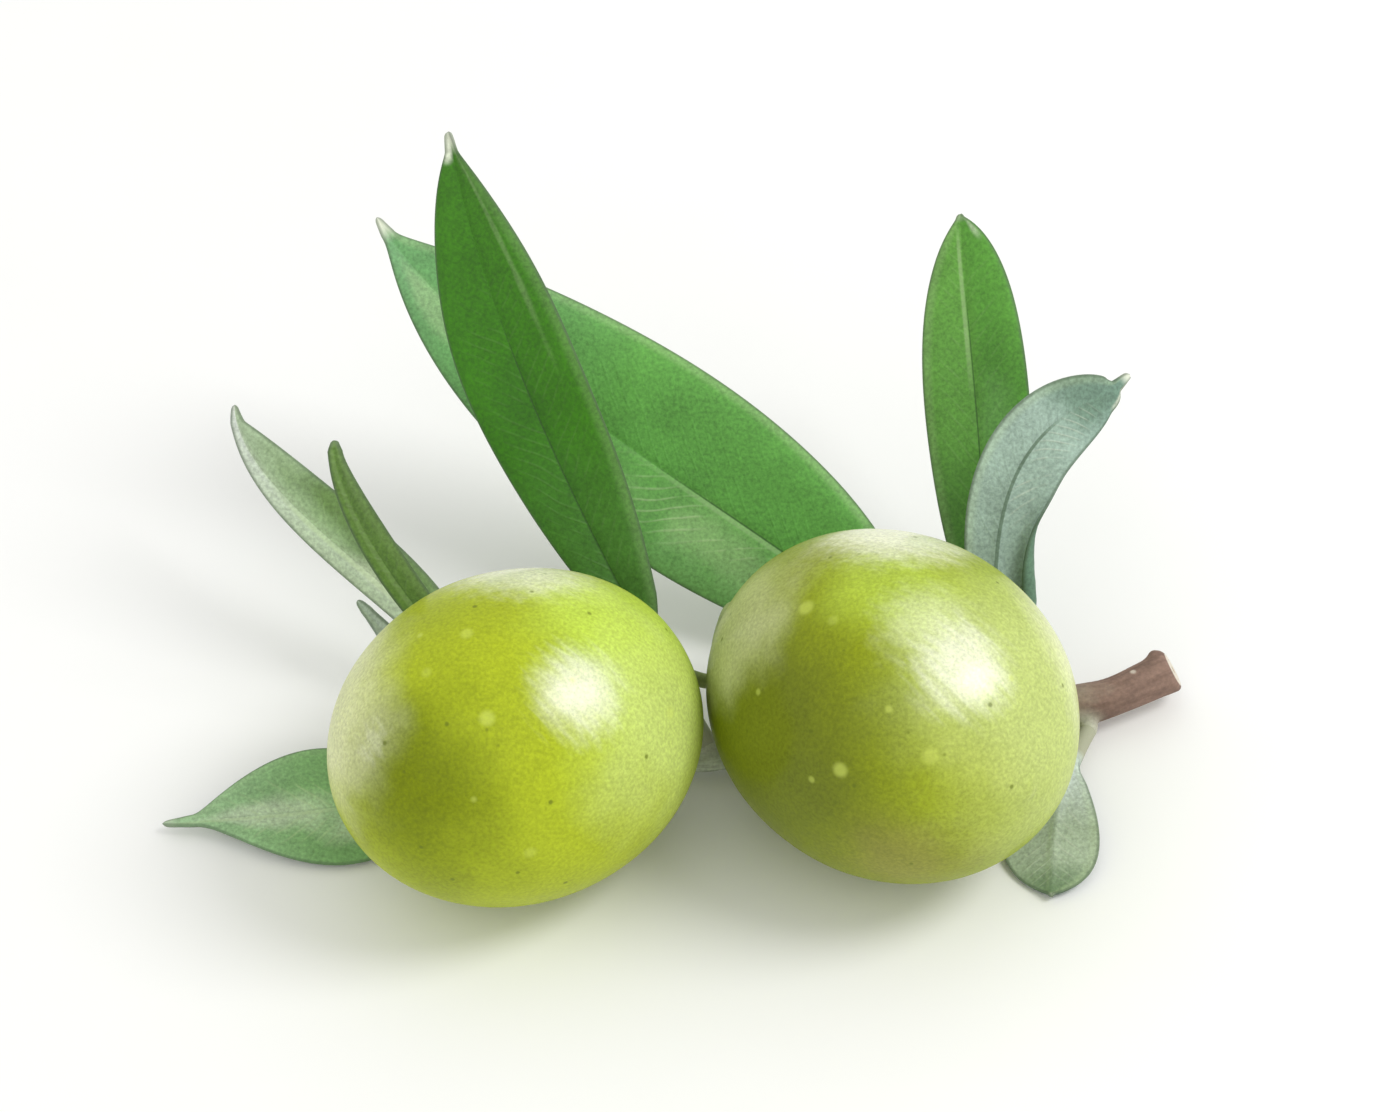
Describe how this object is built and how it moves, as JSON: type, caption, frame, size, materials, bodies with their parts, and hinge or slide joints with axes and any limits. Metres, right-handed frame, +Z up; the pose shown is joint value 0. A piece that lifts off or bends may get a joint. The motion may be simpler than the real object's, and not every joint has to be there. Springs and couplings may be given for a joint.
{
  "type": "olive branch with fruit",
  "caption": "Cut olive sprig lying on a table: slender leaves along a thin twig, and plump green olives on a forked stalk.",
  "frame": {"origin": "middle of the sprig's footprint, on the table it lies on", "axes": "+X along the twig from its growing tip to its cut end, +Y from the olives to the leaves behind them, +Z up"},
  "size_m": [0.0677, 0.0492, 0.0334],
  "materials": {
    "bark": "thin grey-brown olive bark, matt, paler and greener towards the growing tip",
    "green_stalk": "smooth green fruit stalk, satin",
    "olive_skin": "smooth yellow-green olive skin with pale specks, waxy gloss",
    "olive_skin_shaded": "smooth olive-green skin, darker on one cheek, with pale specks, waxy gloss",
    "leaf_dark": "leathery dark green leaf, satin, with a fine midrib",
    "leaf_mid": "leathery mid green leaf, satin, with a pale midrib and faint side veins",
    "leaf_silver": "felty silver-green underside of a leaf, matt",
    "leaf_pale": "pale young leaf, satin, darker along one half",
    "leaf_olive": "olive-green narrow leaf, satin"
  },
  "bodies": {
    "root": {"twig": "bark", "fruit_stalk": "green_stalk", "olive_left": "olive_skin", "olive_right": "olive_skin_shaded", "leaf_middle_tall": "leaf_dark", "leaf_middle_broad": "leaf_mid", "leaf_right_upright": "leaf_mid", "leaf_right_curled": "leaf_silver", "leaf_base_small": "leaf_silver", "leaf_left_low": "leaf_mid", "leaf_left_long": "leaf_pale", "leaf_left_narrow": "leaf_olive", "leaf_left_young": "leaf_pale"}
  },
  "joints": []
}
